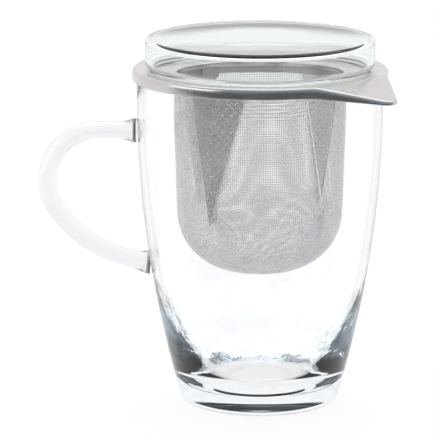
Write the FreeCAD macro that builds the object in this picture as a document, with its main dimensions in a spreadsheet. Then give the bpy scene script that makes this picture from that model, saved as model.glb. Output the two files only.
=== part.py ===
# Lidded tea mug with a hanging infuser, in millimetres.
# The origin is the centre of the mug's foot, +Z is up, the handle points to -X
# and the thumb tab of the infuser points to the front right (+X, -Y).
import FreeCAD, Part
import math
import os

import Sketcher

os.makedirs("parts", exist_ok=True)
doc = FreeCAD.newDocument("tea_mug")

# Driving dimensions
# Each entry is a cell of the sheet: its alias and its value.
driving_sizes = {
    # glass mug
    "mug_height": 118.0,
    "mouth_radius": 43.1,
    "wall_thickness": 2.0,
    "shoulder_drop": 10.0,
    "foot_radius": 27.4,
    "foot_edge_radius": 3.5,
    "bowl_top_height": 46.0,
    "bowl_top_wall": 2.4,
    "bowl_radius": 105.0,
    "floor_corner_radius": 17.0,
    "floor_thickness": 6.3,
    # glass rod handle
    "handle_rod_radius": 3.2,
    "handle_top_height": 96.6,
    "handle_reach": 74.7,
    "handle_bend_radius": 17.9,
    "handle_lower_radius": 46.0,
    "handle_joint_height": 49.5,
    # pressed rim plate
    "sheet_thickness": 0.6,
    "skirt_clearance": 0.95,
    "rim_edge_radius": 1.2,
    "rim_rise": 1.9,
    "skirt_height": 4.0,
    "dish_width": 15.25,
    "opening_edge_radius": 0.5,
    "collar_height": 2.2,
    "collar_overlap": 1.2,
    "plate_clearance": 0.3,
    "tab_azimuth": -43.0,
    "tab_reach": 11.85,
    "tab_tip_radius": 5.0,
    "tab_half_angle": 41.0,
    "tab_blend_radius": 22.0,
    "tab_bend_past_mouth": 0.4,
    "tab_bend_radius": 12.0,
    "tab_drop": 4.5,
    "tab_lip_height": 1.4,
    # strip ring in the mouth of the mesh cup
    "strip_thickness": 0.4,
    "strip_width": 2.5,
    "strip_clearance": 0.05,
    "lap_azimuth": 128.0,
    "lap_width": 7.8,
    "lap_overhang": 0.7,
    # woven wire cup
    "mesh_thickness": 0.4,
    "mesh_clearance": 0.05,
    "basket_depth": 69.8,
    "basket_taper": 1.15,
    "basket_waist_height": 75.0,
    "basket_corner_radius": 21.0,
    "pleat_width": 20.0,
    "pleat_tip_height": 64.0,
    "pleat_thickness": 0.4,
    "pleat_front_left": -121.0,
    "pleat_front_right": -41.0,
    "pleat_back_right": 45.0,
    "pleat_back_left": 138.0,
    # glass lid
    "lid_step": 4.45,
    "lid_height": 10.9,
    "lid_top_thickness": 3.2,
    "lid_top_edge_radius": 2.2,
    "lid_swell": 1.2,
    "lid_lip_width": 1.5,
    "lid_lip_edge": 0.5,
    "lid_swell_height": 3.2,
    "lid_draft": 6.5,
    "lid_corner_radius": 5.0,
    "lid_clearance": 0.3,
}

sheet = doc.addObject("Spreadsheet::Sheet", "sizes")
for row, (alias, value) in enumerate(driving_sizes.items(), start=1):
    sheet.set(f"A{row}", alias)
    sheet.set(f"B{row}", repr(value))
    sheet.setAlias(f"B{row}", alias)
doc.recompute()


class Size:
    """A length with its value and the sheet expression that gives it."""

    def __init__(self, value, text):
        self.value = value
        self.text = text

    @staticmethod
    def of(other):
        if isinstance(other, Size):
            return other
        return Size(float(other), repr(float(other)))

    def __add__(self, other):
        other = Size.of(other)
        return Size(self.value + other.value, f"({self.text} + {other.text})")

    def __sub__(self, other):
        other = Size.of(other)
        return Size(self.value - other.value, f"({self.text} - {other.text})")

    def __mul__(self, other):
        other = Size.of(other)
        return Size(self.value * other.value, f"({self.text} * {other.text})")

    def __truediv__(self, other):
        other = Size.of(other)
        return Size(self.value / other.value, f"({self.text} / {other.text})")

    def root(self):
        return Size(math.sqrt(self.value), f"sqrt({self.text})")


def size(alias):
    return Size(float(sheet.get(alias)), f"sizes.{alias}")


# Tools for sketches and bodies

def new_body(name):
    return doc.addObject("PartDesign::Body", name)


def origin_feature(body, role):
    return next(f for f in body.Origin.OriginFeatures if f.Role == role)


def new_sketch(body, role, name):
    sketch = body.newObject("Sketcher::SketchObject", name)
    sketch.AttachmentSupport = [(origin_feature(body, role), "")]
    sketch.MapMode = "FlatFace"
    return sketch


def flat(point):
    return FreeCAD.Vector(point[0], point[1], 0)


class Outline:
    """A chain of lines and arcs in a sketch, with its joints and dimensions."""

    def __init__(self, sketch):
        self.sketch = sketch
        self.pieces = []

    def line(self, start, end):
        index = self.sketch.addGeometry(Part.LineSegment(flat(start), flat(end)), False)
        self.pieces.append((index, 1, 2))
        return len(self.pieces) - 1

    def arc(self, start, middle, end):
        curve = Part.Arc(flat(start), flat(middle), flat(end))
        index = self.sketch.addGeometry(curve, False)
        first = self.sketch.getPoint(index, 1)
        ordered = first.distanceToPoint(flat(start)) < first.distanceToPoint(flat(end))
        self.pieces.append((index, 1, 2) if ordered else (index, 2, 1))
        return len(self.pieces) - 1

    def join(self, one, other, kind="Coincident"):
        a, b = self.pieces[one], self.pieces[other]
        self.sketch.addConstraint(Sketcher.Constraint(kind, a[0], a[2], b[0], b[1]))

    def close(self, smooth):
        """Joins every piece to the next, tangent after those in smooth."""
        count = len(self.pieces)
        for i in range(count):
            self.join(i, (i + 1) % count, "Tangent" if i in smooth else "Coincident")

    def rule(self, kind, one):
        self.sketch.addConstraint(Sketcher.Constraint(kind, self.pieces[one][0]))

    def bind(self, index, length):
        self.sketch.setExpression(f"Constraints[{index}]", length.text)

    def place(self, one, across=None, up=None, end=False):
        """Fixes a piece's start, or its end, at a distance from the sketch's origin."""
        index, start, finish = self.pieces[one]
        vertex = finish if end else start
        for kind, length in (("DistanceX", across), ("DistanceY", up)):
            if length is not None:
                rule = Sketcher.Constraint(kind, -1, 1, index, vertex, length.value)
                self.bind(self.sketch.addConstraint(rule), length)

    def on_axis(self, one, end=False):
        """Puts a piece's start, or its end, on the turning axis."""
        index, start, finish = self.pieces[one]
        vertex = finish if end else start
        self.sketch.addConstraint(Sketcher.Constraint("PointOnObject", index, vertex, -2))

    def radius(self, one, length):
        rule = Sketcher.Constraint("Radius", self.pieces[one][0], length.value)
        self.bind(self.sketch.addConstraint(rule), length)


def turn(body, sketch, name):
    """A full turn of a section about the Z axis."""
    feature = body.newObject("PartDesign::Revolution", name)
    feature.Profile = sketch
    feature.ReferenceAxis = (sketch, ["V_Axis"])
    feature.Angle = 360
    return feature


def tangent_arc(start, direction, end):
    """Middle point and end direction of the arc that leaves start along direction."""
    s, e = FreeCAD.Vector(*start, 0), FreeCAD.Vector(*end, 0)
    d = FreeCAD.Vector(*direction, 0).normalize()
    chord = e - s
    normal = FreeCAD.Vector(-d.y, d.x, 0)
    reach = chord.dot(chord) / (2 * chord.dot(normal))
    centre = s + normal * reach
    out = ((s + e) * 0.5 - centre).normalize()
    middle = centre + out * abs(reach)
    leave = d - chord.normalize() * 2 * d.dot(chord)
    return (middle.x, middle.y), (-leave.x, -leave.y)


mug_height = size("mug_height")
mouth_radius = size("mouth_radius")
wall_thickness = size("wall_thickness")
shoulder_height = mug_height - size("shoulder_drop")
foot_radius = size("foot_radius")
inner_radius = mouth_radius - wall_thickness
rim_centre_height = mug_height - wall_thickness / 2


def belly_middle():
    """A point half way along the outer belly arc."""
    start = (mouth_radius.value, shoulder_height.value)
    return tangent_arc(start, (0, -1), (foot_radius.value, 0))[0]


def circle_edges(shape, radius, height):
    """Names of the circular edges of that radius about the Z axis at that height."""
    names = []
    for i, edge in enumerate(shape.Edges, start=1):
        curve = edge.Curve
        if isinstance(curve, Part.Circle):
            if abs(curve.Radius - radius) < 0.01 and abs(curve.Center.z - height) < 0.01:
                names.append(f"Edge{i}")
    return names


def round_circle(body, base, radius, height, length, name):
    """A fillet on the circular edge of that radius and height."""
    doc.recompute()
    feature = body.newObject("PartDesign::Fillet", name)
    feature.Base = (base, circle_edges(base.Shape, radius, height))
    feature.setExpression("Radius", length.text)
    return feature


# Mug: outside straight at the mouth, then one long arc to the foot. Inside the wall
# thickens into a bowl over the heavy base.
def make_mug_body():
    body = new_body("mug_body")
    sketch = new_sketch(body, "XZ_Plane", "mug_section")
    top = rim_centre_height.value
    outer, inner = mouth_radius.value, inner_radius.value
    shoulder = shoulder_height.value
    crest = ((outer + inner) / 2, mug_height.value)
    bowl_top_height = size("bowl_top_height")
    bowl_radius = size("bowl_radius")
    corner_radius = size("floor_corner_radius")
    floor = size("floor_thickness")

    # outer radius where the bowl starts, on the belly arc
    drop = shoulder_height
    belly_radius = (drop * drop / (mouth_radius - foot_radius) + (mouth_radius - foot_radius)) / 2
    above = shoulder_height - bowl_top_height
    belly_at_bowl = (belly_radius * belly_radius - above * above).root() - belly_radius + mouth_radius
    bowl_top_radius = belly_at_bowl - size("bowl_top_wall")

    bowl_top = (bowl_top_radius.value, bowl_top_height.value)
    wall_middle, slope = tangent_arc((inner, shoulder), (0, -1), bowl_top)
    # bowl arc centre, then the corner arc that touches it and the floor
    normal = FreeCAD.Vector(slope[1], -slope[0], 0).normalize()
    start = FreeCAD.Vector(*bowl_top, 0)
    bowl_centre = start + normal * bowl_radius.value
    corner_up = floor.value + corner_radius.value
    span = bowl_radius.value - corner_radius.value
    corner_across = bowl_centre.x + math.sqrt(span**2 - (bowl_centre.y - corner_up) ** 2)
    corner_centre = FreeCAD.Vector(corner_across, corner_up, 0)
    meet = bowl_centre + (corner_centre - bowl_centre).normalize() * bowl_radius.value
    bowl_middle = bowl_centre + ((start + meet) * 0.5 - bowl_centre).normalize() * bowl_radius.value
    landing = FreeCAD.Vector(corner_across, floor.value, 0)
    corner_middle = corner_centre + ((meet + landing) * 0.5 - corner_centre).normalize() * corner_radius.value

    section = Outline(sketch)
    foot = section.line((0, 0), (foot_radius.value, 0))
    belly = section.arc((foot_radius.value, 0), belly_middle(), (outer, shoulder))
    outside = section.line((outer, shoulder), (outer, top))
    crown = section.arc((outer, top), crest, (inner, top))
    inside = section.line((inner, top), (inner, shoulder))
    wall = section.arc((inner, shoulder), wall_middle, (start.x, start.y))
    bowl = section.arc((start.x, start.y), (bowl_middle.x, bowl_middle.y), (meet.x, meet.y))
    corner = section.arc((meet.x, meet.y), (corner_middle.x, corner_middle.y), (landing.x, landing.y))
    deck = section.line((landing.x, landing.y), (0, floor.value))
    section.line((0, floor.value), (0, 0))
    section.close(smooth={belly, outside, crown, inside, wall, bowl, corner})
    section.on_axis(deck, end=True)
    section.rule("Horizontal", foot)
    section.rule("Vertical", outside)
    section.rule("Vertical", inside)
    section.rule("Horizontal", deck)
    sketch.addConstraint(Sketcher.Constraint("Coincident", section.pieces[foot][0], 1, -1, 1))
    section.place(foot, across=foot_radius, end=True)
    section.place(outside, across=mouth_radius, up=shoulder_height)
    section.place(crown, up=rim_centre_height)
    section.place(inside, across=inner_radius)
    section.place(inside, up=shoulder_height, end=True)
    section.place(bowl, across=bowl_top_radius, up=bowl_top_height)
    section.radius(bowl, bowl_radius)
    section.radius(corner, corner_radius)
    section.place(deck, up=floor)
    turned = turn(body, sketch, "mug_turn")
    rounded = round_circle(body, turned, foot_radius.value, 0, size("foot_edge_radius"), "foot_edge")
    body.Tip = rounded
    return body


# The mug as if it were solid, to trim the handle's ends to the wall.
def make_mug_envelope():
    body = new_body("mug_envelope")
    sketch = new_sketch(body, "XZ_Plane", "envelope_section")
    outer, shoulder = mouth_radius.value, shoulder_height.value
    section = Outline(sketch)
    foot = section.line((0, 0), (foot_radius.value, 0))
    belly = section.arc((foot_radius.value, 0), belly_middle(), (outer, shoulder))
    outside = section.line((outer, shoulder), (outer, mug_height.value))
    lid = section.line((outer, mug_height.value), (0, mug_height.value))
    section.line((0, mug_height.value), (0, 0))
    section.close(smooth={belly})
    section.rule("Horizontal", foot)
    section.rule("Vertical", outside)
    section.rule("Horizontal", lid)
    section.on_axis(lid, end=True)
    sketch.addConstraint(Sketcher.Constraint("Coincident", section.pieces[foot][0], 1, -1, 1))
    section.place(foot, across=foot_radius, end=True)
    section.place(outside, across=mouth_radius, up=shoulder_height)
    section.place(lid, up=mug_height)
    turn(body, sketch, "envelope_turn")
    return body


# Handle: a round glass rod that leaves the wall level, turns down in one bend
# and comes back to the wall along a flatter bend.
def make_mug_handle(envelope):
    body = new_body("handle_rod")
    path = new_sketch(body, "XZ_Plane", "handle_path")
    root = mouth_radius - wall_thickness
    top = size("handle_top_height")
    bend = size("handle_bend_radius")
    lower = size("handle_lower_radius")
    centre_across = size("handle_reach") - bend
    foot_across = foot_radius
    foot_up = size("handle_joint_height")

    # centres of both bends, with the lower one inside the touching circle
    first = FreeCAD.Vector(-centre_across.value, top.value - bend.value, 0)
    joint = FreeCAD.Vector(-foot_across.value, foot_up.value, 0)
    gap = joint - first
    away = gap.Length
    reach = lower.value - bend.value
    along = (reach**2 - lower.value**2 + away**2) / (2 * away)
    aside = math.sqrt(reach**2 - along**2)
    unit = FreeCAD.Vector(gap).normalize()
    second = first + unit * along + FreeCAD.Vector(-unit.y, unit.x, 0) * aside
    meet = second + (first - second).normalize() * lower.value
    crest = first + FreeCAD.Vector(-1, 0.1, 0).normalize() * bend.value
    lower_middle = second + ((meet + joint) * 0.5 - second).normalize() * lower.value

    line = Outline(path)
    run = line.line((-root.value, top.value), (first.x, top.value))
    upper_bend = line.arc((first.x, top.value), (crest.x, crest.y), (meet.x, meet.y))
    lower_bend = line.arc((meet.x, meet.y), (lower_middle.x, lower_middle.y), (joint.x, joint.y))
    line.join(run, upper_bend, "Tangent")
    line.join(upper_bend, lower_bend, "Tangent")
    line.rule("Horizontal", run)
    minus = Size(-1.0, "-1")
    line.place(run, across=root * minus, up=top)
    line.place(run, across=centre_across * minus, end=True)
    line.place(lower_bend, across=foot_across * minus, up=foot_up, end=True)
    line.radius(upper_bend, bend)
    line.radius(lower_bend, lower)

    ring = new_sketch(body, "YZ_Plane", "rod_section")
    ring.setExpression("AttachmentOffset.Base.z", f"-({root.text})")
    rod_radius = size("handle_rod_radius")
    circle = Part.Circle(FreeCAD.Vector(0, top.value, 0), FreeCAD.Vector(0, 0, 1), rod_radius.value)
    index = ring.addGeometry(circle, False)
    ring.addConstraint(Sketcher.Constraint("PointOnObject", index, 3, -2))
    height_rule = ring.addConstraint(Sketcher.Constraint("DistanceY", -1, 1, index, 3, top.value))
    ring.setExpression(f"Constraints[{height_rule}]", top.text)
    radius_rule = ring.addConstraint(Sketcher.Constraint("Radius", index, rod_radius.value))
    ring.setExpression(f"Constraints[{radius_rule}]", rod_radius.text)
    doc.recompute()

    rod = body.newObject("PartDesign::AdditivePipe", "rod_sweep")
    rod.Profile = ring
    rod.Spine = (path, [])
    rod.Mode = "Frenet"
    trimmed = doc.addObject("Part::Cut", "mug_handle")
    trimmed.Base = body
    trimmed.Tool = envelope
    return trimmed


# Rim plate: a dished ring with a turned-down skirt, run out into a thumb tab.
# Its outside and its hollow underside are each the overlap of three forms: the
# plan outline, a dished disc and a slab that bends down along the tab.
sheet_thickness = size("sheet_thickness")
rim_radius = mouth_radius + size("skirt_clearance") + sheet_thickness
rim_rise = size("rim_rise")
opening_radius = rim_radius - size("dish_width")
tab_tip_distance = rim_radius + size("tab_reach")
plate_clearance = size("plate_clearance")
rim_slope = rim_rise / size("dish_width")
slope_length = (rim_slope * rim_slope + 1.0).root()
seat_radius = mouth_radius - wall_thickness / 2
plate_under_seat = rim_centre_height + (wall_thickness / 2 + plate_clearance) * slope_length
plate_lift = sheet_thickness * slope_length
opening_top = plate_under_seat + plate_lift - (seat_radius - opening_radius) * rim_slope
rim_top = opening_top + rim_rise
skirt_bottom = rim_top - size("skirt_height")
collar_radius = opening_radius + sheet_thickness
collar_bottom = opening_top - size("collar_height")
mesh_inner_radius = collar_radius + size("mesh_clearance")
mesh_outer_radius = mesh_inner_radius + size("mesh_thickness")
neck_bottom = collar_bottom - size("strip_width")
waist_height = size("basket_waist_height")
basket_bottom = opening_top - size("basket_depth")


def tab_points(inset):
    """Corner points of the plan outline, drawn in by inset, with the tab along +X."""
    disc = rim_radius.value - inset
    tip = size("tab_tip_radius").value - inset
    blend = size("tab_blend_radius").value + inset
    angle = math.radians(size("tab_half_angle").value)
    far = tab_tip_distance.value
    side = FreeCAD.Vector(-math.cos(angle), math.sin(angle), 0)
    out = FreeCAD.Vector(math.sin(angle), math.cos(angle), 0)
    tip_centre = FreeCAD.Vector(far, 0, 0)
    tip_touch = tip_centre + out * tip
    # the blend's centre lies a blend radius beyond the side and touches the disc
    start = tip_centre + out * (tip + blend)
    reach = disc + blend
    half = start.dot(side)
    along = -half - math.sqrt(half**2 - start.dot(start) + reach**2)
    if along < 0:
        along = -half + math.sqrt(half**2 - start.dot(start) + reach**2)
    blend_centre = start + side * along
    side_end = tip_touch + side * along
    disc_touch = blend_centre * (disc / reach)
    toward = ((side_end + disc_touch) * 0.5 - blend_centre).normalize()
    blend_middle = blend_centre + toward * blend
    return tip_touch, side_end, blend_middle, disc_touch


def plan_form(name, inset):
    """The plan outline drawn in by inset and padded through the plate's height."""
    body = new_body(name)
    sketch = new_sketch(body, "XY_Plane", f"{name}_outline")
    tip_touch, side_end, blend_middle, disc_touch = tab_points(inset.value)

    def left(point):
        return (point.x, point.y)

    def right(point):
        return (point.x, -point.y)

    disc = rim_radius.value - inset.value
    tip = size("tab_tip_radius") - inset
    far = tab_tip_distance
    plan = Outline(sketch)
    nose = plan.arc(right(tip_touch), (far.value + tip.value, 0), left(tip_touch))
    left_side = plan.line(left(tip_touch), left(side_end))
    left_blend = plan.arc(left(side_end), left(blend_middle), left(disc_touch))
    back = plan.arc(left(disc_touch), (-disc, 0), right(disc_touch))
    right_blend = plan.arc(right(disc_touch), right(blend_middle), right(side_end))
    right_side = plan.line(right(side_end), right(tip_touch))
    plan.close(smooth={nose, left_side, left_blend, back, right_blend, right_side})
    centre = Sketcher.Constraint("Coincident", plan.pieces[back][0], 3, -1, 1)
    sketch.addConstraint(centre)
    nose_index = plan.pieces[nose][0]
    sketch.addConstraint(Sketcher.Constraint("PointOnObject", nose_index, 3, -1))
    rule = sketch.addConstraint(Sketcher.Constraint("DistanceX", -1, 1, nose_index, 3, far.value))
    plan.bind(rule, far)
    plan.radius(nose, tip)
    plan.radius(back, rim_radius - inset)
    plan.radius(left_blend, size("tab_blend_radius") + inset)
    plan.radius(right_blend, size("tab_blend_radius") + inset)
    half = math.radians(size("tab_half_angle").value)
    for piece, turned in ((left_side, math.pi - half), (right_side, half)):
        rule = Sketcher.Constraint("Angle", plan.pieces[piece][0], turned)
        index = sketch.addConstraint(rule)
        text = "sizes.tab_half_angle * 1deg"
        sketch.setExpression(f"Constraints[{index}]", text if piece == right_side else f"180deg - {text}")
    pad = body.newObject("PartDesign::Pad", f"{name}_pad")
    pad.Profile = sketch
    pad.setExpression("Length", (rim_top + rim_radius).text)
    return body


def dished_form(name, lowered):
    """A wide disc whose top is the plate's dished surface, lowered."""
    body = new_body(name)
    sketch = new_sketch(body, "XZ_Plane", f"{name}_section")
    edge = tab_tip_distance + size("tab_tip_radius") * 2
    centre_up = opening_top - opening_radius * rim_slope - lowered
    edge_up = centre_up + edge * rim_slope
    section = Outline(sketch)
    base = section.line((0, 0), (edge.value, 0))
    wall = section.line((edge.value, 0), (edge.value, edge_up.value))
    top = section.line((edge.value, edge_up.value), (0, centre_up.value))
    section.line((0, centre_up.value), (0, 0))
    section.close(smooth=set())
    section.rule("Horizontal", base)
    section.rule("Vertical", wall)
    section.on_axis(top, end=True)
    sketch.addConstraint(Sketcher.Constraint("Coincident", section.pieces[base][0], 1, -1, 1))
    section.place(top, across=edge, up=edge_up)
    section.place(top, up=centre_up, end=True)
    turn(body, sketch, f"{name}_turn")
    return body


def bent_form(name, lowered, opened):
    """A slab that bends down along the tab, its top lowered and its bottom opened."""
    body = new_body(name)
    sketch = new_sketch(body, "XZ_Plane", f"{name}_side")
    near = mouth_radius + size("tab_bend_past_mouth")
    far = tab_tip_distance + size("tab_tip_radius")
    beyond = far + size("tab_tip_radius")
    bend_up = opening_top + (near - opening_radius) * rim_slope
    slope = size("tab_drop") / (far - near)
    low = skirt_bottom - opened
    tip_low = bend_up - size("tab_drop") - size("tab_lip_height") - opened
    back = rim_radius * Size(-1.5, "-1.5")
    corners = [
        (back, low),
        (near, low),
        (beyond, low - (low - tip_low) * (beyond - near) / (far - near)),
        (beyond, bend_up - slope * (beyond - near) - lowered),
        (back, bend_up + slope * (near - back) - lowered),
    ]
    section = Outline(sketch)
    for i, corner in enumerate(corners):
        following = corners[(i + 1) % len(corners)]
        section.line((corner[0].value, corner[1].value), (following[0].value, following[1].value))
    section.close(smooth=set())
    for i, corner in enumerate(corners):
        section.place(i, across=corner[0], up=corner[1])
    pad = body.newObject("PartDesign::Pad", f"{name}_pad")
    pad.Profile = sketch
    pad.Midplane = True
    pad.setExpression("Length", (rim_radius * 3).text)
    return body


def overlap(name, members):
    common = doc.addObject("Part::MultiCommon", name)
    common.Shapes = members
    return common


# Bounds on how far a face looks up: an upright wall stays under the first, and a face
# that looks up more than the second is a top.
upright_bound = 0.05
top_bound = 0.5


def facing(face):
    """How far a face looks up, from -1 to 1, at its middle."""
    low_u, high_u, low_v, high_v = face.ParameterRange
    return face.normalAt((low_u + high_u) / 2, (low_v + high_v) / 2).z


def rounded(name, base, radius, least, most):
    """A fillet along every edge whose lower-looking face looks up between those bounds."""
    doc.recompute()
    edges = []
    for i, edge in enumerate(base.Shape.Edges, start=1):
        looks = sorted(facing(face) for face in base.Shape.ancestorsOfType(edge, Part.Face))
        if len(looks) == 2 and least < looks[0] < most and looks[1] > top_bound:
            edges.append((i, radius.value, radius.value))
    feature = doc.addObject("Part::Fillet", name)
    feature.Base = base
    feature.Edges = edges
    return feature


def rounded_form(name, form, lowered):
    """Rounds the crease of the tab's bend, then the outline all round."""
    bend = rounded(f"{name}_bend", form, size("tab_bend_radius") - lowered, top_bound, 1.0)
    return rounded(f"{name}_edge", bend, size("rim_edge_radius") - lowered, -upright_bound, upright_bound)


def upright_ring(body, name, inner, outer, low, high, degrees=None):
    """A ring of rectangular section about the Z axis, or a part of one about +X."""
    sketch = new_sketch(body, "XZ_Plane", f"{name}_section")
    corners = [(inner, low), (outer, low), (outer, high), (inner, high)]
    section = Outline(sketch)
    for i, corner in enumerate(corners):
        following = corners[(i + 1) % 4]
        section.line((corner[0].value, corner[1].value), (following[0].value, following[1].value))
    section.close(smooth=set())
    for i in (0, 2):
        section.place(i, across=corners[i][0], up=corners[i][1])
    for i in (0, 2):
        section.rule("Horizontal", i)
        section.rule("Vertical", i + 1)
    feature = turn(body, sketch, f"{name}_turn")
    if degrees is not None:
        feature.Midplane = True
        feature.setExpression("Angle", degrees.text)
    return feature


def make_rim_plate():
    zero = Size(0.0, "0")
    outer = overlap("plate_outside", [
        plan_form("outside_plan", zero),
        dished_form("outside_dish", zero),
        bent_form("outside_bend", zero, zero),
    ])
    hollow = overlap("plate_hollow", [
        plan_form("hollow_plan", sheet_thickness),
        dished_form("hollow_dish", plate_lift),
        bent_form("hollow_bend", plate_lift, size("skirt_height")),
    ])
    shell = doc.addObject("Part::Cut", "plate_shell")
    shell.Base = rounded_form("plate_outside", outer, zero)
    shell.Tool = rounded_form("plate_hollow", hollow, sheet_thickness)

    hole_body = new_body("opening_form")
    upright_ring(hole_body, "opening", zero, opening_radius, zero, rim_top * 2)
    ring = doc.addObject("Part::Cut", "plate_ring")
    ring.Base = shell
    ring.Tool = hole_body

    collar_body = new_body("collar_form")
    upright_ring(collar_body, "collar", opening_radius, collar_radius, collar_bottom, opening_top)
    joined = doc.addObject("Part::Fuse", "plate_and_collar")
    joined.Base = ring
    joined.Tool = collar_body
    doc.recompute()
    mouth = circle_edges(joined.Shape, opening_radius.value, opening_top.value)
    numbers = [int(name[4:]) for name in mouth]
    bend = size("opening_edge_radius").value
    plate = doc.addObject("Part::Fillet", "rim_plate")
    plate.Base = joined
    plate.Edges = [(number, bend, bend) for number in numbers]
    plate.setExpression("Placement.Rotation.Angle", "sizes.tab_azimuth * 1deg")
    return plate


# Strip ring: bent from flat strip, its overlapped end standing inside and a little lower.
def make_mesh_ring():
    body = new_body("mesh_ring")
    thickness = size("strip_thickness")
    outer = mesh_inner_radius - size("strip_clearance")
    inner = outer - thickness
    top = collar_bottom - size("strip_clearance")
    bottom = top - size("strip_width")
    upright_ring(body, "strip", inner, outer, bottom, top)
    lap_angle = size("lap_width") / inner * (180 / math.pi)
    upright_ring(body, "lap", inner - thickness, inner, bottom - size("lap_overhang"), top, lap_angle)
    body.setExpression("Placement.Rotation.Angle", "sizes.lap_azimuth * 1deg")
    return body


# Mesh cup: the wall tapers to a rounded bottom. The wire cloth is one thin wall here.
def cup_sizes(shift):
    """The cup's outline moved out by shift: neck, waist, floor height and corner radius."""
    neck = mesh_outer_radius + shift
    waist = neck - size("basket_taper")
    return neck, waist, basket_bottom - shift, size("basket_corner_radius") + shift


def cup_corner(shift):
    """Start, middle and end of the corner arc that joins the tapered wall to the floor."""
    neck, waist, low, radius = (length.value for length in cup_sizes(shift))
    lean = math.atan2(neck - waist, neck_bottom.value - waist_height.value)
    centre_up = low + radius
    centre_across = waist - radius / math.cos(lean) + (centre_up - waist_height.value) * math.tan(lean)
    points = []
    for angle in (lean, (lean + math.pi / 2) / 2, math.pi / 2):
        points.append((centre_across + radius * math.cos(angle), centre_up - radius * math.sin(angle)))
    return points


def cup_wall(body, name, out, inside, top):
    """A turned wall between the cup's outline moved out by out and by inside."""
    sketch = new_sketch(body, "XZ_Plane", name)
    section = Outline(sketch)
    neck, waist, low, radius = cup_sizes(out)
    neck_in, waist_in, low_in, radius_in = cup_sizes(inside)
    outer_start, outer_middle, outer_end = cup_corner(out)
    inner_start, inner_middle, inner_end = cup_corner(inside)
    neck_line = section.line((neck.value, top.value), (neck.value, neck_bottom.value))
    wall = section.line((neck.value, neck_bottom.value), outer_start)
    bend = section.arc(outer_start, outer_middle, outer_end)
    floor = section.line(outer_end, (0, low.value))
    section.line((0, low.value), (0, low_in.value))
    floor_in = section.line((0, low_in.value), inner_end)
    bend_in = section.arc(inner_end, inner_middle, inner_start)
    wall_in = section.line(inner_start, (neck_in.value, neck_bottom.value))
    neck_in_line = section.line((neck_in.value, neck_bottom.value), (neck_in.value, top.value))
    rim = section.line((neck_in.value, top.value), (neck.value, top.value))
    section.close(smooth={wall, bend, floor_in, bend_in})
    for line in (neck_line, neck_in_line):
        section.rule("Vertical", line)
    for line in (rim, floor, floor_in):
        section.rule("Horizontal", line)
    section.on_axis(floor, end=True)
    section.on_axis(floor_in)
    section.place(neck_line, across=neck, up=top)
    section.place(wall, up=neck_bottom)
    section.place(floor, up=low, end=True)
    section.place(floor_in, up=low_in)
    section.place(neck_in_line, across=neck_in, up=neck_bottom)
    section.radius(bend, radius)
    section.radius(bend_in, radius_in)
    pass_through(section, wall, waist, waist_height)
    pass_through(section, wall_in, waist_in, waist_height)
    return turn(body, sketch, f"{name}_turn")


def pass_through(section, piece, across, up):
    """Makes a line pass through a point placed at those distances."""
    sketch = section.sketch
    index = sketch.addGeometry(Part.Point(FreeCAD.Vector(across.value, up.value, 0)), True)
    for kind, length in (("DistanceX", across), ("DistanceY", up)):
        rule = sketch.addConstraint(Sketcher.Constraint(kind, -1, 1, index, 1, length.value))
        section.bind(rule, length)
    line = section.pieces[piece][0]
    sketch.addConstraint(Sketcher.Constraint("PointOnObject", index, 1, line))


def pleat_form(place, top):
    """A triangle pointing down, padded out from the axis towards one pleat."""
    prism = new_body(f"pleat_{place}_form")
    sketch = new_sketch(prism, "YZ_Plane", f"pleat_{place}_outline")
    half = size("pleat_width") / 2
    tip = size("pleat_tip_height")
    outline = Outline(sketch)
    side = outline.line((-half.value, top.value), (0, tip.value))
    other_side = outline.line((0, tip.value), (half.value, top.value))
    mouth = outline.line((half.value, top.value), (-half.value, top.value))
    outline.close(smooth=set())
    outline.place(side, across=half * Size(-1.0, "-1"), up=top)
    outline.on_axis(other_side)
    outline.place(other_side, up=tip)
    outline.place(mouth, across=half, up=top)
    pad = prism.newObject("PartDesign::Pad", f"pleat_{place}_pad")
    pad.Profile = sketch
    pad.setExpression("Length", rim_radius.text)
    prism.setExpression("Placement.Rotation.Angle", f"sizes.pleat_{place} * 1deg")
    return prism


# The cloth is square and is drawn into a cup, so it folds into four flat pleats on its
# bias. Each is a raised triangle on the wall, widest at the mouth.
def make_mesh_basket():
    zero = Size(0.0, "0")
    thickness = size("mesh_thickness")
    top = collar_bottom + size("collar_overlap")
    cup = new_body("cup_form")
    cup_wall(cup, "cup", zero, zero - thickness, top)
    skin = new_body("pleat_skin")
    cup_wall(skin, "skin", size("pleat_thickness"), zero - thickness / 2, top - thickness)
    pleats = []
    for place in ("front_left", "front_right", "back_right", "back_left"):
        pleats.append(overlap(f"pleat_{place}", [skin, pleat_form(place, top)]))
    basket = doc.addObject("Part::MultiFuse", "mesh_basket")
    basket.Shapes = [cup, *pleats]
    return basket


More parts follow.
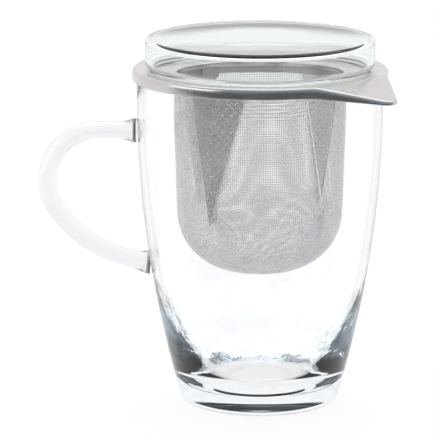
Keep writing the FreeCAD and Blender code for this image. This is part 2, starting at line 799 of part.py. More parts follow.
# Lid: a heavy glass dish, open side down, with a drawn-in lip and a hollow underside.
def make_lid_dish():
    body = new_body("lid_dish")
    sketch = new_sketch(body, "XZ_Plane", "lid_section")
    radius = rim_radius - size("lid_step")
    lip_outer = radius - size("lid_swell")
    lip_inner = lip_outer - size("lid_lip_width")
    seat = opening_top + (lip_outer - opening_radius) * rim_slope
    bottom = seat + size("lid_clearance")
    swell = bottom + size("lid_swell_height")
    top = bottom + size("lid_height")
    edge = size("lid_top_edge_radius")
    under = top - size("lid_top_thickness")
    hollow = lip_inner - size("lid_draft")
    swell_end = (lip_outer.value, bottom.value)
    swell_middle = tangent_arc((radius.value, swell.value), (0, -1), swell_end)[0]
    half = edge.value * math.sqrt(0.5)
    edge_middle = (radius.value - edge.value + half, top.value - edge.value + half)
    section = Outline(sketch)
    lip = section.line((lip_inner.value, bottom.value), (lip_outer.value, bottom.value))
    swelling = section.arc(swell_end, swell_middle, (radius.value, swell.value))
    wall = section.line((radius.value, swell.value), (radius.value, top.value - edge.value))
    corner = section.arc(
        (radius.value, top.value - edge.value), edge_middle, (radius.value - edge.value, top.value)
    )
    face = section.line((radius.value - edge.value, top.value), (0, top.value))
    section.line((0, top.value), (0, under.value))
    underside = section.line((0, under.value), (hollow.value, under.value))
    section.line((hollow.value, under.value), (lip_inner.value, bottom.value))
    section.close(smooth={swelling, wall, corner})
    section.rule("Horizontal", lip)
    section.rule("Vertical", wall)
    section.rule("Horizontal", face)
    section.rule("Horizontal", underside)
    section.on_axis(face, end=True)
    section.on_axis(underside)
    section.place(lip, across=lip_inner, up=bottom)
    section.place(lip, across=lip_outer, end=True)
    section.place(wall, across=radius, up=swell)
    section.place(face, up=top)
    section.radius(corner, edge)
    section.place(underside, across=hollow, up=under, end=True)
    turned = turn(body, sketch, "lid_turn")
    hollowed = round_circle(body, turned, hollow.value, under.value, size("lid_corner_radius"), "lid_hollow")
    inner = round_circle(body, hollowed, lip_inner.value, bottom.value, size("lid_lip_edge"), "lip_inside")
    body.Tip = round_circle(body, inner, lip_outer.value, bottom.value, size("lid_lip_edge"), "lip_outside")
    return body


def check(objects):
    for item in doc.Objects:
        if "Invalid" in item.State or "Error" in item.State:
            raise RuntimeError(f"{item.Name} failed: {item.State}")
    for item in objects:
        if item.Shape.isNull() or not item.Shape.isValid():
            raise RuntimeError(f"{item.Label} has no valid shape")


sub_parts = [
    make_mug_body(),
    make_mug_handle(make_mug_envelope()),
    make_rim_plate(),
    make_mesh_ring(),
    make_mesh_basket(),
    make_lid_dish(),
]
doc.recompute()
check(sub_parts)
for item in sub_parts:
    item.Shape.exportStep(f"parts/{item.Label}.step")
    print(item.Label, round(item.Shape.Volume, 1), len(item.Shape.Solids), len(item.Shape.Faces))
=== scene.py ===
import bpy
import math
import numpy as np
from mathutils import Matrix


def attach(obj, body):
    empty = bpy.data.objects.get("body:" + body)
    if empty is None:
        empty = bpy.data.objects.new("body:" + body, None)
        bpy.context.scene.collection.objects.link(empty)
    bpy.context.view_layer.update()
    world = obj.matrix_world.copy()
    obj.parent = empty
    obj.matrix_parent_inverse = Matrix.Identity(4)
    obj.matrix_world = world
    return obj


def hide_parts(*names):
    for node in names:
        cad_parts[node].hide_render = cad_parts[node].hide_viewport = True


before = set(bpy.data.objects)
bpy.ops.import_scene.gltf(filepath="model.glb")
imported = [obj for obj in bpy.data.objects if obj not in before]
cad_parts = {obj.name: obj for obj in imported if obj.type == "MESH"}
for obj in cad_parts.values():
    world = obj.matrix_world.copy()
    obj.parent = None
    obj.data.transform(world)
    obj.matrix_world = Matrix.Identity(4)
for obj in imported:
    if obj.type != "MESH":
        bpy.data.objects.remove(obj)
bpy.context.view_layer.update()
mm = 0.001  # all sizes below are in millimetres, in the frame of the CAD model


# Camera: in front of the mug and higher than its lid, looking a little down, at the distance that
# gives the photo's ellipses.
cameraSizes = {
    "distance": 1090,       # from the mug's axis, along -Y
    "height": 302,
    "pitch": 12.29,         # degrees below level
    "focal": 3165,          # in pixels of the 440 pixel frame
    "frameWidth": 440,
    "axisPixel": 260.6,     # where the mug's axis falls across the frame
    "sensor": 36,
    "clipStart": 10,
    "clipEnd": 50000,
}


def makeCamera(sizes):
    data = bpy.data.cameras.new("camera")
    data.sensor_width = sizes["sensor"]
    data.lens = sizes["focal"] * sizes["sensor"] / sizes["frameWidth"]
    data.clip_start = sizes["clipStart"] * mm
    data.clip_end = sizes["clipEnd"] * mm
    camera = bpy.data.objects.new("camera", data)
    bpy.context.scene.collection.objects.link(camera)
    yaw = math.atan((sizes["axisPixel"] - sizes["frameWidth"] / 2) / sizes["focal"])
    camera.location = (0, -sizes["distance"] * mm, sizes["height"] * mm)
    camera.rotation_euler = (math.radians(90 - sizes["pitch"]), 0, yaw)
    bpy.context.scene.camera = camera


makeCamera(cameraSizes)
bpy.context.scene.view_settings.view_transform = "Standard"
print("camera set")


# Mesh tools

def gridQuads(rows, columns, wrapRows=False, wrapColumns=False, start=0):
    # quad (i, j) joins grid points (i, j), (i, j+1), (i+1, j+1) and (i+1, j)
    down, across = rows - (not wrapRows), columns - (not wrapColumns)
    i, j = np.meshgrid(np.arange(down), np.arange(across), indexing="ij")
    nextI, nextJ = (i + 1) % rows, (j + 1) % columns
    corners = [i * columns + j, i * columns + nextJ, nextI * columns + nextJ, nextI * columns + j]
    return np.stack(corners, -1).reshape(-1, 4) + start


def newPiece(name, points, faces, material, body, uv=None):
    mesh = bpy.data.meshes.new(name)
    mesh.from_pydata((np.asarray(points) * mm).tolist(), [], faces)
    if uv is not None:
        layer = mesh.uv_layers.new(name="place")
        corner = np.zeros(len(mesh.loops), np.int32)
        mesh.loops.foreach_get("vertex_index", corner)
        layer.uv.foreach_set("vector", uv[corner].astype(np.float32).ravel())
    mesh.shade_smooth()
    mesh.materials.append(material)
    piece = bpy.data.objects.new(name, mesh)
    bpy.context.scene.collection.objects.link(piece)
    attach(piece, body)
    return piece


def arcPoints(centre, radius, fromDegrees, toDegrees, count):
    # points of a circle in the section plane: centre + radius * (cos, sin) of an even run of angles
    angle = np.radians(np.linspace(fromDegrees, toDegrees, count))
    return np.stack([centre[0] + radius * np.cos(angle), centre[1] + radius * np.sin(angle)], 1)


def lathe(name, profile, material, body, turns):
    # surface of revolution: each profile point (r, z) is carried once round the Z axis, and the
    # first and last points lie on the axis and become poles
    angle = np.linspace(0, 2 * np.pi, turns, endpoint=False)
    ring = profile[1:-1]
    shape = (len(ring), turns)
    x = ring[:, :1] * np.cos(angle)
    y = ring[:, :1] * np.sin(angle)
    z = np.broadcast_to(ring[:, 1:], shape)
    around = np.stack([x, y, z], -1).reshape(-1, 3)
    poles = np.array([[0, 0, profile[0, 1]], [0, 0, profile[-1, 1]]])
    points = np.vstack([around, poles])
    j = np.arange(turns)
    following = (j + 1) % turns
    first, last = len(around), len(around) + 1
    top = (len(ring) - 1) * turns
    startFan = np.stack([np.full(turns, first), following, j], 1)
    endFan = np.stack([top + j, top + following, np.full(turns, last)], 1)
    faces = gridQuads(*shape, wrapColumns=True).tolist() + startFan.tolist() + endFan.tolist()
    return newPiece(name, points, faces, material, body)


# Shader tools

def newMaterial(name):
    material = bpy.data.materials.new(name)
    material.use_nodes = True
    tree = material.node_tree
    return material, tree, tree.nodes["Principled BSDF"]


def addNode(tree, kind, values=None, **settings):
    node = tree.nodes.new(kind)
    for key, value in settings.items():
        setattr(node, key, value)
    for socket, value in (values or {}).items():
        if isinstance(value, bpy.types.NodeSocket):
            tree.links.new(value, node.inputs[socket])
        else:
            node.inputs[socket].default_value = value
    return node


def maths(tree, operation, *values):
    return addNode(tree, "ShaderNodeMath", dict(enumerate(values)), operation=operation).outputs[0]


def mixColour(tree, factor, first, second):
    values = {0: factor, 6: first, 7: second}
    return addNode(tree, "ShaderNodeMix", values, data_type="RGBA").outputs[2]


def noise(tree, place, scale, detail, roughness=0.5):
    values = {"Vector": place, "Scale": scale, "Detail": detail, "Roughness": roughness}
    return addNode(tree, "ShaderNodeTexNoise", values).outputs["Fac"]


def attachBump(tree, shader, height, strength, distance):
    values = {"Height": height, "Strength": strength, "Distance": distance * mm}
    bump = addNode(tree, "ShaderNodeBump", values)
    tree.links.new(bump.outputs["Normal"], shader.inputs["Normal"])


def newGroup(name, inputs, outputs):
    group = bpy.data.node_groups.new(name, "ShaderNodeTree")
    for label, kind, value in inputs:
        socket = group.interface.new_socket(label, in_out="INPUT", socket_type=kind)
        socket.default_value = value
    for label, kind in outputs:
        group.interface.new_socket(label, in_out="OUTPUT", socket_type=kind)
    given, out = group.nodes.new("NodeGroupInput"), group.nodes.new("NodeGroupOutput")
    return group, given.outputs, out.inputs


def placeGroup(tree, group, values):
    node = tree.nodes.new("ShaderNodeGroup")
    node.node_tree = group
    for socket, value in values.items():
        node.inputs[socket].default_value = value
    return node


# Brushed grain: noise drawn out along X as fine lines, over broad soft patches.
def buildGrain():
    group, given, out = newGroup(
        "brushedGrain",
        [
            ("Lines", "NodeSocketFloat", 900.0),
            ("Stretch", "NodeSocketFloat", 0.03),
            ("Contrast", "NodeSocketFloat", 0.2),
            ("Dark", "NodeSocketColor", (0.5, 0.5, 0.5, 1)),
            ("Light", "NodeSocketColor", (0.7, 0.7, 0.7, 1)),
            ("Smooth", "NodeSocketFloat", 0.2),
            ("Rough", "NodeSocketFloat", 0.35),
        ],
        [("Color", "NodeSocketColor"), ("Roughness", "NodeSocketFloat"), ("Height", "NodeSocketFloat")],
    )
    place = addNode(group, "ShaderNodeTexCoord").outputs["Object"]
    squeeze = addNode(group, "ShaderNodeCombineXYZ", {"X": given["Stretch"], "Y": 1.0, "Z": 1.0})
    drawn = addNode(group, "ShaderNodeVectorMath", {0: place, 1: squeeze.outputs[0]}, operation="MULTIPLY")
    fine = noise(group, drawn.outputs[0], given["Lines"], 3.0, 0.6)
    broad = noise(group, place, 40.0, 2.0)
    both = {"Value": maths(group, "ADD", fine, broad), "From Min": 0.75, "From Max": 1.25}
    tone = addNode(group, "ShaderNodeMapRange", both)
    ends = {"To Min": given["Smooth"], "To Max": given["Rough"]}
    shine = addNode(group, "ShaderNodeMapRange", {**both, **ends})
    group.links.new(mixColour(group, tone.outputs[0], given["Dark"], given["Light"]), out["Color"])
    group.links.new(shine.outputs[0], out["Roughness"])
    group.links.new(maths(group, "MULTIPLY", fine, given["Contrast"]), out["Height"])
    return group


# Glass waves: slow unevenness of blown and pressed glass. It sets in from Start to Low and fades
# from Low to High, and a painted glow lies where the waves stand highest.
def buildWaves():
    group, given, out = newGroup(
        "glassWaves",
        [
            ("Scale", "NodeSocketFloat", 60.0),
            ("Fine", "NodeSocketFloat", 220.0),
            ("Start", "NodeSocketFloat", -0.01),
            ("Low", "NodeSocketFloat", 0.02),
            ("High", "NodeSocketFloat", 0.06),
            ("Above", "NodeSocketFloat", 0.05),
            ("Tint", "NodeSocketColor", (1, 1, 1, 1)),
            ("Clear", "NodeSocketColor", (1, 1, 1, 1)),
            ("PaintedGlow", "NodeSocketColor", (0, 0, 0, 1)),
        ],
        [("Color", "NodeSocketColor"), ("Height", "NodeSocketFloat"), ("PaintedGlow", "NodeSocketColor")],
    )
    place = addNode(group, "ShaderNodeTexCoord").outputs["Object"]
    slow = noise(group, place, given["Scale"], 1.0)
    ripple = maths(group, "MULTIPLY", noise(group, place, given["Fine"], 2.0), 0.3)
    wave = maths(group, "ADD", slow, ripple)
    level = addNode(group, "ShaderNodeSeparateXYZ", {0: place}).outputs["Z"]
    rise = {"From Min": given["Start"], "From Max": given["Low"]}
    begin = addNode(group, "ShaderNodeMapRange", {"Value": level, **rise}, interpolation_type="SMOOTHSTEP")
    fall = {"From Min": given["Low"], "From Max": given["High"], "To Min": 1.0, "To Max": given["Above"]}
    fade = addNode(group, "ShaderNodeMapRange", {"Value": level, **fall}, interpolation_type="SMOOTHSTEP")
    height = maths(group, "MULTIPLY", wave, maths(group, "MULTIPLY", fade.outputs[0], begin.outputs[0]))
    # painted glow: where the waves stand highest the glass gives off the glow colour
    glowCrest = addNode(group, "ShaderNodeMapRange", {"Value": height, "From Min": 0.45, "From Max": 0.85})
    group.links.new(mixColour(group, slow, given["Tint"], given["Clear"]), out["Color"])
    group.links.new(height, out["Height"])
    group.links.new(mixColour(group, glowCrest.outputs[0], (0, 0, 0, 1), given["PaintedGlow"]), out["PaintedGlow"])
    return group


grainGroup = buildGrain()
waveGroup = buildWaves()


def steelMaterial(name, grain, bumpStrength, bumpDistance):
    material, tree, shader = newMaterial(name)
    node = placeGroup(tree, grainGroup, grain)
    tree.links.new(node.outputs["Color"], shader.inputs["Base Color"])
    tree.links.new(node.outputs["Roughness"], shader.inputs["Roughness"])
    attachBump(tree, shader, node.outputs["Height"], bumpStrength, bumpDistance)
    shader.inputs["Metallic"].default_value = 1.0
    return material


# Glass lets shadow rays through, so that what stands inside it is lit. Where its surface turns
# away from the eye the colour goes over to a painted edge shade.
def glassMaterial(name, waves, look):
    material, tree, shader = newMaterial(name)
    node = placeGroup(tree, waveGroup, waves)
    # painted shade: the glass is darkened where its surface turns away from the eye
    facing = addNode(tree, "ShaderNodeLayerWeight", {"Blend": 0.5}).outputs["Facing"]
    edge = addNode(tree, "ShaderNodeMapRange", {"Value": facing, "From Min": 0.7, "From Max": 0.97})
    colour = mixColour(tree, edge.outputs[0], node.outputs["Color"], look["paintedEdgeShade"])
    if "jointShadeBand" in look:
        # painted shade: a dark band near each end of a rod, where it is fused to the mug, placed by the share
        # of the length in the piece's map
        band = look["jointShadeBand"]
        place = addNode(tree, "ShaderNodeUVMap", uv_map="place")
        along = addNode(tree, "ShaderNodeSeparateXYZ", {0: place.outputs["UV"]}).outputs["X"]
        away = maths(tree, "ABSOLUTE", maths(tree, "SUBTRACT", along, 0.5))
        inJointShade = maths(tree, "COMPARE", away, 0.5 - band / 2, band * 0.45)
        colour = mixColour(tree, inJointShade, colour, look["jointShadeTint"])
    tree.links.new(colour, shader.inputs["Base Color"])
    attachBump(tree, shader, node.outputs["Height"], look["bumpStrength"], look["bumpDistance"])
    # painted glow: a faint emission stands in for light that has been thrown about many times inside thick
    # glass
    tree.links.new(node.outputs["PaintedGlow"], shader.inputs["Emission Color"])
    shader.inputs["Emission Strength"].default_value = 1.0
    shader.inputs["Roughness"].default_value = 0.0
    shader.inputs["IOR"].default_value = 1.5
    shader.inputs["Transmission Weight"].default_value = 1.0
    shadowRay = addNode(tree, "ShaderNodeLightPath").outputs["Is Shadow Ray"]
    clear = addNode(tree, "ShaderNodeBsdfTransparent", {"Color": look["shadowTint"]})
    mix = addNode(tree, "ShaderNodeMixShader", {0: shadowRay, 1: shader.outputs[0], 2: clear.outputs[0]})
    output = tree.nodes["Material Output"]
    tree.links.new(mix.outputs[0], output.inputs["Surface"])
    inside = {"Color": look["inside"], "Density": look["density"]}
    absorb = addNode(tree, "ShaderNodeVolumeAbsorption", inside)
    tree.links.new(absorb.outputs[0], output.inputs["Volume"])
    return material


mugGlass = glassMaterial(
    "mugGlass",
    {
        "Scale": 130.0,
        "Fine": 420.0,
        "Start": 0.012,
        "Low": 0.024,
        "High": 0.055,
        "Above": 0.02,
        "Tint": (0.985, 0.99, 1.0, 1),
        # colour of the painted glow in the thick base
        "PaintedGlow": (0.075, 0.1, 0.12, 1),
    },
    {
        "bumpStrength": 0.4,
        "bumpDistance": 0.6,
        "inside": (0.68, 0.78, 0.85, 1),
        "density": 5.0,
        "shadowTint": (0.97, 0.97, 0.98, 1),
        "paintedEdgeShade": (0.55, 0.57, 0.59, 1),
    },
)
handleGlass = glassMaterial(
    "handleGlass",
    {"Scale": 60.0, "Fine": 250.0, "Low": 0.02, "High": 0.06, "Above": 0.3, "Tint": (0.985, 0.99, 1.0, 1)},
    {
        "bumpStrength": 0.1,
        "bumpDistance": 0.4,
        "inside": (0.80, 0.80, 0.81, 1),
        "density": 70.0,
        "shadowTint": (0.97, 0.97, 0.98, 1),
        "paintedEdgeShade": (0.70, 0.70, 0.71, 1),
        # painted shade at the joints where the rod is fused to the mug
        "jointShadeBand": 0.008,
        "jointShadeTint": (0.10, 0.10, 0.105, 1),
    },
)
lidGlass = glassMaterial(
    "lidGlass",
    {"Scale": 35.0, "Fine": 150.0, "Low": 0.0, "High": 0.02, "Above": 0.1, "Tint": (0.97, 1.0, 0.985, 1)},
    {
        "bumpStrength": 0.1,
        "bumpDistance": 0.3,
        "inside": (0.25, 0.667, 0.375, 1),
        "density": 9.0,
        "shadowTint": (0.97, 0.98, 0.97, 1),
        "paintedEdgeShade": (0.60, 0.66, 0.62, 1),
    },
)
rimSteel = steelMaterial(
    "rimSteel",
    {
        "Lines": 1400.0,
        "Stretch": 0.03,
        "Contrast": 1.0,
        "Dark": (0.575, 0.55, 0.54, 1),
        "Light": (0.665, 0.645, 0.635, 1),
        "Smooth": 0.18,
        "Rough": 0.28,
    },
    0.08, 0.05,
)
stripSteel = steelMaterial(
    "stripSteel",
    {
        "Lines": 1200.0,
        "Stretch": 0.05,
        "Contrast": 1.0,
        "Dark": (0.40, 0.38, 0.37, 1),
        "Light": (0.55, 0.53, 0.52, 1),
        "Smooth": 0.25,
        "Rough": 0.4,
    },
    0.08, 0.05,
)
wireSteel = steelMaterial(
    "wireSteel",
    {
        "Lines": 500.0,
        "Stretch": 0.4,
        "Contrast": 1.0,
        "Dark": (0.72, 0.71, 0.705, 1),
        "Light": (0.88, 0.87, 0.865, 1),
        "Smooth": 0.2,
        "Rough": 0.35,
    },
    0.02, 0.02,
)
# darker copy of the wire steel: painted shade on the folds that lie doubled
shadedFoldSteel = steelMaterial(
    "shadedFoldSteel",
    {
        "Lines": 500.0,
        "Stretch": 0.4,
        "Contrast": 1.0,
        "Dark": (0.50, 0.48, 0.475, 1),
        "Light": (0.66, 0.64, 0.63, 1),
        "Smooth": 0.25,
        "Rough": 0.4,
    },
    0.02, 0.02,
)
print("materials built")


# Mug
mugSizes = {
    "height": 118.0,
    "mouthRadius": 43.1,
    "wall": 2.0,
    "shoulder": 108.0,
    "footRadius": 27.4,
    "footEdge": 3.5,
    "bowlTop": 46.0,        # height where the wall starts to thicken into the base
    "bowlTopWall": 2.4,
    "bowlRadius": 105.0,
    "cornerRadius": 17.0,
    "floor": 6.3,
    "turns": 256,
}


def bellyArc(sizes):
    # radius and centre (r) of the outer arc that is upright at the shoulder and ends at the foot
    drop, inset = sizes["shoulder"], sizes["mouthRadius"] - sizes["footRadius"]
    radius = (drop ** 2 + inset ** 2) / (2 * inset)
    return radius, sizes["mouthRadius"] - radius


def outerRadius(sizes, z):
    # r = centre + sqrt(R^2 - (shoulder - z)^2) under the shoulder, and the mouth radius above it
    radius, centre = bellyArc(sizes)
    return centre + np.sqrt(radius ** 2 - np.maximum(sizes["shoulder"] - z, 0) ** 2)


def mugProfile(sizes):
    # foot, belly, straight lip, rounded rim, inner wall, bowl and floor, from axis to axis
    radius, centre = bellyArc(sizes)
    edge = sizes["footEdge"]
    reach = radius - edge
    edgeAcross = centre + math.sqrt(reach ** 2 - (sizes["shoulder"] - edge) ** 2)
    touch = math.degrees(math.atan2(sizes["shoulder"] - edge, edgeAcross - centre))
    foot = arcPoints((edgeAcross, edge), edge, -90, -touch, 14)
    z = np.linspace(foot[-1, 1], sizes["shoulder"], 60)[1:]
    belly = np.stack([outerRadius(sizes, z), z], 1)
    half = sizes["wall"] / 2
    rim = arcPoints((sizes["mouthRadius"] - half, sizes["height"] - half), half, 0, 180, 16)
    # inner wall: arc that is upright at the shoulder and reaches the bowl's top
    inner = sizes["mouthRadius"] - sizes["wall"]
    bowlTop = np.array([outerRadius(sizes, sizes["bowlTop"]) - sizes["bowlTopWall"], sizes["bowlTop"]])
    drop, inset = sizes["shoulder"] - bowlTop[1], inner - bowlTop[0]
    wallRadius = (drop ** 2 + inset ** 2) / (2 * inset)
    wallEnd = math.degrees(math.asin(drop / wallRadius))
    wall = arcPoints((inner - wallRadius, sizes["shoulder"]), wallRadius, 0, -wallEnd, 40)
    # bowl arc leaves the wall smoothly, and the corner arc touches it and the floor
    outward = np.array([math.cos(math.radians(wallEnd)), -math.sin(math.radians(wallEnd))])
    bowlCentre = bowlTop - outward * sizes["bowlRadius"]
    cornerUp = sizes["floor"] + sizes["cornerRadius"]
    span = sizes["bowlRadius"] - sizes["cornerRadius"]
    cornerAcross = bowlCentre[0] + math.sqrt(span ** 2 - (bowlCentre[1] - cornerUp) ** 2)
    meet = math.degrees(math.atan2(bowlCentre[1] - cornerUp, cornerAcross - bowlCentre[0]))
    bowl = arcPoints(bowlCentre, sizes["bowlRadius"], -wallEnd, -meet, 24)[1:]
    corner = arcPoints((cornerAcross, cornerUp), sizes["cornerRadius"], -meet, -90, 24)[1:]
    flat = [[0, 0], [edgeAcross * 0.5, 0]]
    floor = [[corner[-1, 0] * 0.5, sizes["floor"]], [0, sizes["floor"]]]
    return np.vstack([flat, foot, belly, rim, wall, bowl, corner, floor])


mug = lathe("mugGlassBody", mugProfile(mugSizes), mugGlass, "mug", mugSizes["turns"])
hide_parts("mug_body")


# Handle: a rod of glass pulled from the upper joint round to the lower one.
handleSizes = {
    "rod": 3.2,
    "topHeight": 96.6,
    "reach": 74.7,          # centre line's furthest point from the mug's axis
    "bend": 17.9,
    "lowerBend": 46.0,
    "jointHeight": 49.5,    # height of the centre line where it comes in to the foot's radius
    "rootSwell": 1.1,       # how much the rod widens where it is fused on
    "rootLength": 3.0,
    "gap": 0.04,            # from the rod's ends to the mug's wall
    "inside": 3.0,          # how far inside the wall the straight run starts
    "past": 0.3,            # how far past the wall the rod is followed before its end is cut
    "fineEnd": 4.0,         # length at each end with close rings
    "sides": 28,
}


def handlePath(sizes, mugs):
    # straight run, upper bend and lower bend, all tangent, as points (x, z) from top joint to lower joint
    across = sizes["reach"] - sizes["bend"]
    first = np.array([-across, sizes["topHeight"] - sizes["bend"]])
    joint = np.array([-mugs["footRadius"], sizes["jointHeight"]])
    gap = joint - first
    away = np.hypot(*gap)
    span = sizes["lowerBend"] - sizes["bend"]
    along = (span ** 2 - sizes["lowerBend"] ** 2 + away ** 2) / (2 * away)
    aside = math.sqrt(span ** 2 - along ** 2)
    unit = gap / away
    second = first + unit * along + np.array([-unit[1], unit[0]]) * aside
    turn = math.degrees(math.atan2(*(first - second)[::-1])) % 360
    end = math.degrees(math.atan2(*(joint - second)[::-1])) % 360
    wallX = -outerRadius(mugs, sizes["topHeight"])
    run = np.linspace([wallX + sizes["inside"], sizes["topHeight"]], [-across, sizes["topHeight"]], 24)
    upper = arcPoints(first, sizes["bend"], 90, turn, 60)[1:]
    lower = arcPoints(second, sizes["lowerBend"], turn, end, 90)[1:]
    return np.vstack([run, upper, lower])


def makeHandle(sizes, mugs):
    path, sides = handlePath(sizes, mugs), sizes["sides"]
    # keep the part outside the wall, with close rings near both ends
    outside = -path[:, 0] > outerRadius(mugs, path[:, 1])
    length = np.concatenate([[0], np.cumsum(np.hypot(*np.diff(path, axis=0).T))])
    low, high = length[outside][0] - sizes["past"], length[outside][-1] + sizes["past"]
    fine = sizes["fineEnd"]
    close = np.linspace(0, fine, 14)
    t = np.concatenate([low + close[:-1], np.linspace(low + fine, high - fine, 110), high - fine + close[1:]])
    x, z = np.interp(t, length, path[:, 0]), np.interp(t, length, path[:, 1])
    dx, dz = np.gradient(x, t), np.gradient(z, t)
    scale = np.hypot(dx, dz)
    dx, dz = dx / scale, dz / scale
    # radius swells near both joints: r + swell * exp(-(distance / length)^2)
    near = np.minimum(t - low, high - t)
    radius = sizes["rod"] + sizes["rootSwell"] * np.exp(-(near / sizes["rootLength"]) ** 2)
    angle = np.linspace(0, 2 * np.pi, sides, endpoint=False)
    across = radius[:, None] * np.cos(angle)
    side = radius[:, None] * np.sin(angle)
    points = np.stack([x[:, None] - dz[:, None] * across, side, z[:, None] + dx[:, None] * across], -1)
    # points inside the glass wall move out along X to just off its surface, which shapes both ends
    far = np.hypot(points[..., 0], points[..., 1])
    wall = outerRadius(mugs, points[..., 2]) + sizes["gap"]
    sunk = far < wall
    onWall = -np.sqrt(np.maximum(wall ** 2 - points[..., 1] ** 2, 0))
    points[..., 0] = np.where(sunk, onWall, points[..., 0])
    rows = len(t)
    caps = np.array([points[0].mean(0), points[-1].mean(0)])
    for cap in caps:
        cap[0] = -(outerRadius(mugs, cap[2]) + sizes["gap"])
    everyPoint = np.vstack([points.reshape(-1, 3), caps])
    j = np.arange(sides)
    following = (j + 1) % sides
    last = (rows - 1) * sides
    startCap = np.stack([np.full(sides, rows * sides), j, following], 1)
    endCap = np.stack([last + following, last + j, np.full(sides, rows * sides + 1)], 1)
    quads = gridQuads(rows, sides, wrapColumns=True)[:, ::-1]
    faces = quads.tolist() + startCap.tolist() + endCap.tolist()
    share = (t - t[0]) / (t[-1] - t[0])
    uv = np.stack(np.broadcast_arrays(share[:, None], np.linspace(0.02, 0.98, sides)), -1).reshape(-1, 2)
    uv = np.vstack([uv, [[0, 0.5], [1, 0.5]]])
    handle = newPiece("glassRodHandle", everyPoint, faces, handleGlass, "mug", uv)
    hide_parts("mug_handle")


makeHandle(handleSizes, mugSizes)
print("mug and handle built")


# Rim plate
plateSizes = {
    "sheet": 0.6,
    "rimRadius": 44.65,
    "edge": 1.2,            # radius of the outer edge
    "openingRadius": 29.4,
    "openingTop": 117.33,   # height of the dish at the opening
    "rise": 1.9,            # how much the rim stands over the opening
    "skirt": 4.0,
    "collar": 2.2,
    "openingEdge": 0.6,
    "tabAzimuth": -43.0,
    "tipDistance": 56.5,
    "tipRadius": 5.0,
    "halfAngle": 41.0,
    "blend": 22.0,
    "bendDistance": 43.5,
    "bendSoftness": 0.35,   # how far the tab's bend is rounded off
    "drop": 4.5,
    "lip": 1.4,             # skirt height at the tip of the tab
    "leastSkirt": 0.15,
}


def tabOutline(sizes, step=0.6):
    # plan outline with the tab along +X: tip arc, straight side, hollow blend, round back and the
    # mirror images of the first three; returns points and outward normals
    half = math.radians(sizes["halfAngle"])
    out = np.array([math.sin(half), math.cos(half)])
    side = np.array([-math.cos(half), math.sin(half)])
    tip = np.array([sizes["tipDistance"], 0.0])
    start = tip + out * (sizes["tipRadius"] + sizes["blend"])
    reach = sizes["rimRadius"] + sizes["blend"]
    along = -start @ side - math.sqrt((start @ side) ** 2 - start @ start + reach ** 2)
    if along < 0:
        along = -start @ side + math.sqrt((start @ side) ** 2 - start @ start + reach ** 2)
    blendCentre = start + side * along
    sideStart = tip + out * sizes["tipRadius"]

    def arc(centre, radius, first, last, sign):
        count = max(int(abs(last - first) * radius / step), 6)
        angle = np.linspace(first, last, count, endpoint=False)
        direction = np.stack([np.cos(angle), np.sin(angle)], 1)
        return centre + direction * radius, direction * sign

    noseEnd = math.pi / 2 - half
    nose = arc(tip, sizes["tipRadius"], 0, noseEnd, 1)
    count = max(int(along / step), 4)
    t = np.linspace(0, along, count, endpoint=False)[:, None]
    straight = (sideStart + side * t, np.broadcast_to(out, (count, 2)))
    blendFrom = math.atan2(-out[1], -out[0])
    touch = math.atan2(blendCentre[1], blendCentre[0])
    blend = arc(blendCentre, sizes["blend"], blendFrom, touch - math.pi, -1)
    back = arc(np.zeros(2), sizes["rimRadius"], touch, math.pi, 1)
    points = np.vstack([nose[0], straight[0], blend[0], back[0]])
    normals = np.vstack([nose[1], straight[1], blend[1], back[1]])
    flip = np.array([1, -1])
    lastPoint, lastNormal = np.array([[-sizes["rimRadius"], 0]]), np.array([[-1.0, 0]])
    points = np.vstack([points, lastPoint, points[:0:-1] * flip])
    normals = np.vstack([normals, lastNormal, normals[:0:-1] * flip])
    return points, normals


def softMin(a, b, softness):
    # smooth lesser of two heights: (a + b - sqrt((a - b)^2 + s^2)) / 2
    return (a + b - np.sqrt((a - b) ** 2 + softness ** 2)) / 2


def plateHeight(sizes, xy):
    # cone that rises outward, cut off softly by the plane of the tab
    slope = sizes["rise"] / (sizes["rimRadius"] - sizes["openingRadius"])
    cone = sizes["openingTop"] + (np.hypot(xy[..., 0], xy[..., 1]) - sizes["openingRadius"]) * slope
    bendUp = sizes["openingTop"] + (sizes["bendDistance"] - sizes["openingRadius"]) * slope
    tipEnd = sizes["tipDistance"] + sizes["tipRadius"]
    fall = sizes["drop"] / (tipEnd - sizes["bendDistance"])
    plane = bendUp + fall * (sizes["bendDistance"] - xy[..., 0])
    return softMin(cone, plane, sizes["bendSoftness"])


def skirtBottom(sizes, xy):
    # level under the round rim, then straight down to the lip at the tab's tip
    low = sizes["openingTop"] + sizes["rise"] - sizes["skirt"]
    tipEnd = sizes["tipDistance"] + sizes["tipRadius"]
    tipLow = plateHeight(sizes, np.array([tipEnd, 0.0])) - sizes["lip"]
    share = np.clip((xy[..., 0] - sizes["bendDistance"]) / (tipEnd - sizes["bendDistance"]), 0, 1)
    return low + (tipLow - low) * share


